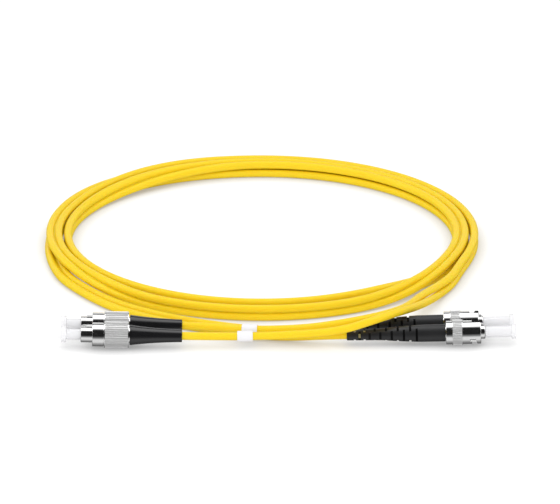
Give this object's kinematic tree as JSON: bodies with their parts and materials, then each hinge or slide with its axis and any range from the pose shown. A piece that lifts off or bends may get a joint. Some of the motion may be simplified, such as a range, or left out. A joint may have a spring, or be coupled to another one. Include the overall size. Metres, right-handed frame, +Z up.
{
  "type": "fiber optic patch cord",
  "caption": "Duplex fibre optic patch cord: threaded round plugs with short boots at one end, bayonet plugs with slotted boots at the other, clear dust caps, cord wound in a loose coil.",
  "frame": {"origin": "on the floor, under the centre of the box round the four plugs", "axes": "+X from the FC plugs to the ST plugs, +Y from the plugs towards the coil behind them, +Z up"},
  "size_m": [0.1773, 0.1959, 0.0123],
  "materials": {
    "yellow_jacket": "satin",
    "black_boot": "satin",
    "nickel": "nickel plated, polished",
    "nickel_silver": "satin",
    "spring_steel": "satin",
    "zirconia": "polished",
    "clear_cap": "gloss",
    "buffer": "matte",
    "marker": "matte"
  },
  "bodies": {
    "cord": {"fc_a_plug_frame": "nickel", "fc_a_stop_ring": "nickel", "fc_a_crimp_sleeve": "nickel", "fc_a_jacket_end": "yellow_jacket", "fc_a_boot": "black_boot", "fc_a_spring": "spring_steel", "fc_b_plug_frame": "nickel", "fc_b_stop_ring": "nickel", "fc_b_crimp_sleeve": "nickel", "fc_b_jacket_end": "yellow_jacket", "fc_b_boot": "black_boot", "fc_b_spring": "spring_steel", "st_a_plug_body": "nickel", "st_a_ferrule": "zirconia", "st_a_buffer_tube": "buffer", "st_a_clip_ring": "spring_steel", "st_a_crimp_sleeve": "nickel", "st_a_jacket_end": "yellow_jacket", "st_a_boot": "black_boot", "st_a_spring": "spring_steel", "st_b_plug_body": "nickel", "st_b_ferrule": "zirconia", "st_b_buffer_tube": "buffer", "st_b_clip_ring": "spring_steel", "st_b_crimp_sleeve": "nickel", "st_b_jacket_end": "yellow_jacket", "st_b_boot": "black_boot", "st_b_spring": "spring_steel", "strand_a_fc_leg": "yellow_jacket", "strand_a_coil": "yellow_jacket", "strand_a_st_leg": "yellow_jacket", "strand_a_label": "marker", "strand_b_fc_leg": "yellow_jacket", "strand_b_coil": "yellow_jacket", "strand_b_st_leg": "yellow_jacket", "strand_b_label": "marker"},
    "fc_a_ferrule_unit": {"fc_a_ferrule": "zirconia", "fc_a_ferrule_holder": "nickel_silver", "fc_a_buffer_tube": "buffer"},
    "fc_a_cap": {"fc_a_dust_cap": "clear_cap"},
    "fc_a_ring": {"fc_a_snap_ring": "spring_steel"},
    "fc_a_nut": {"fc_a_coupling_nut": "nickel"},
    "fc_b_ferrule_unit": {"fc_b_ferrule": "zirconia", "fc_b_ferrule_holder": "nickel_silver", "fc_b_buffer_tube": "buffer"},
    "fc_b_cap": {"fc_b_dust_cap": "clear_cap"},
    "fc_b_ring": {"fc_b_snap_ring": "spring_steel"},
    "fc_b_nut": {"fc_b_coupling_nut": "nickel"},
    "st_a_cap": {"st_a_dust_cap": "clear_cap"},
    "st_a_slide_washer": {"st_a_washer": "spring_steel"},
    "st_a_nut": {"st_a_bayonet_nut": "nickel"},
    "st_b_cap": {"st_b_dust_cap": "clear_cap"},
    "st_b_slide_washer": {"st_b_washer": "spring_steel"},
    "st_b_nut": {"st_b_bayonet_nut": "nickel"}
  },
  "joints": [
    {"name": "fc_a_ferrule_push", "type": "slide", "parent": "cord", "child": "fc_a_ferrule_unit", "axis": [0.9998, 0, -0.0175], "range_m": [0, 0.0015], "stiffness_N_per_m": 4000, "springref_m": -0.0015, "deforming": ["fc_a_spring"]},
    {"name": "fc_a_cap_pull", "type": "slide", "parent": "fc_a_ferrule_unit", "child": "fc_a_cap", "axis": [-0.9998, 0, 0.0175], "range_m": [0, 0.012]},
    {"name": "fc_a_nut_slide", "type": "slide", "parent": "cord", "child": "fc_a_ring", "axis": [-0.9998, 0, 0.0175], "range_m": [0, 0.0016]},
    {"name": "fc_a_nut_turn", "type": "hinge", "parent": "fc_a_ring", "child": "fc_a_nut", "pos_m": [-0.05944, 0.0042, 0.00499], "axis": [-0.9998, 0, 0.0175], "continuous": true},
    {"name": "fc_b_ferrule_push", "type": "slide", "parent": "cord", "child": "fc_b_ferrule_unit", "axis": [0.9998, 0, -0.0175], "range_m": [0, 0.0015], "stiffness_N_per_m": 4000, "springref_m": -0.0015, "deforming": ["fc_b_spring"]},
    {"name": "fc_b_cap_pull", "type": "slide", "parent": "fc_b_ferrule_unit", "child": "fc_b_cap", "axis": [-0.9998, 0, 0.0175], "range_m": [0, 0.012]},
    {"name": "fc_b_nut_slide", "type": "slide", "parent": "cord", "child": "fc_b_ring", "axis": [-0.9998, 0, 0.0175], "range_m": [0, 0.0016]},
    {"name": "fc_b_nut_turn", "type": "hinge", "parent": "fc_b_ring", "child": "fc_b_nut", "pos_m": [-0.05944, -0.0064, 0.00499], "axis": [-0.9998, 0, 0.0175], "continuous": true},
    {"name": "st_a_cap_pull", "type": "slide", "parent": "cord", "child": "st_a_cap", "axis": [0.9997, 0, 0.0262], "range_m": [0, 0.012]},
    {"name": "st_a_nut_push", "type": "slide", "parent": "cord", "child": "st_a_slide_washer", "axis": [0.9997, 0, 0.0262], "range_m": [0, 0.0015], "stiffness_N_per_m": 2500, "springref_m": -0.001, "deforming": ["st_a_spring"]},
    {"name": "st_a_nut_turn", "type": "hinge", "parent": "st_a_slide_washer", "child": "st_a_nut", "pos_m": [0.05879, -0.0033, 0.00473], "axis": [0.9997, 0, 0.0262], "continuous": true},
    {"name": "st_b_cap_pull", "type": "slide", "parent": "cord", "child": "st_b_cap", "axis": [0.9997, 0, 0.0262], "range_m": [0, 0.012]},
    {"name": "st_b_nut_push", "type": "slide", "parent": "cord", "child": "st_b_slide_washer", "axis": [0.9997, 0, 0.0262], "range_m": [0, 0.0015], "stiffness_N_per_m": 2500, "springref_m": -0.001, "deforming": ["st_b_spring"]},
    {"name": "st_b_nut_turn", "type": "hinge", "parent": "st_b_slide_washer", "child": "st_b_nut", "pos_m": [0.05804, 0.0066, 0.00473], "axis": [0.9997, 0, 0.0262], "continuous": true}
  ]
}
